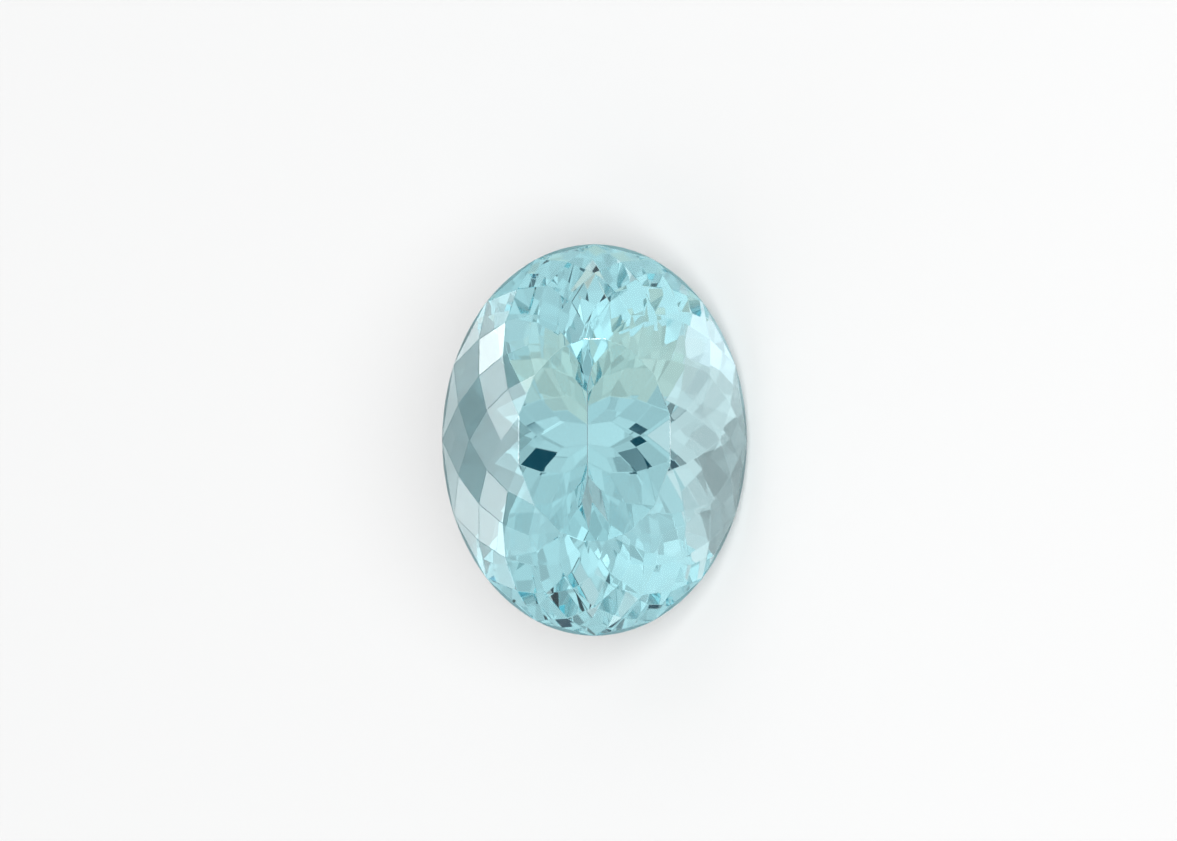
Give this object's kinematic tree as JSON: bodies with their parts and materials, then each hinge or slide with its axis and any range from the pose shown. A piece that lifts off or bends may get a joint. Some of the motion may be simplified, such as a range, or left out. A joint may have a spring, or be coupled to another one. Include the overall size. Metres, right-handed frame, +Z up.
{
  "type": "faceted oval aquamarine gemstone",
  "caption": "Loose oval-cut aquamarine gemstone: clear pale blue-green, rows of small kite facets round a flat table, lying on a lower facet, ready to set or display.",
  "frame": {"origin": "on the surface that the stone lies on, under the middle of its outer box", "axes": "+Z up from that surface, +Y along the stone's long axis, with the table leaning towards +X"},
  "size_m": [0.011, 0.018, 0.0107],
  "materials": {
    "aquamarine": "polished"
  },
  "bodies": {
    "root": {"gemstone": "aquamarine"}
  },
  "joints": []
}
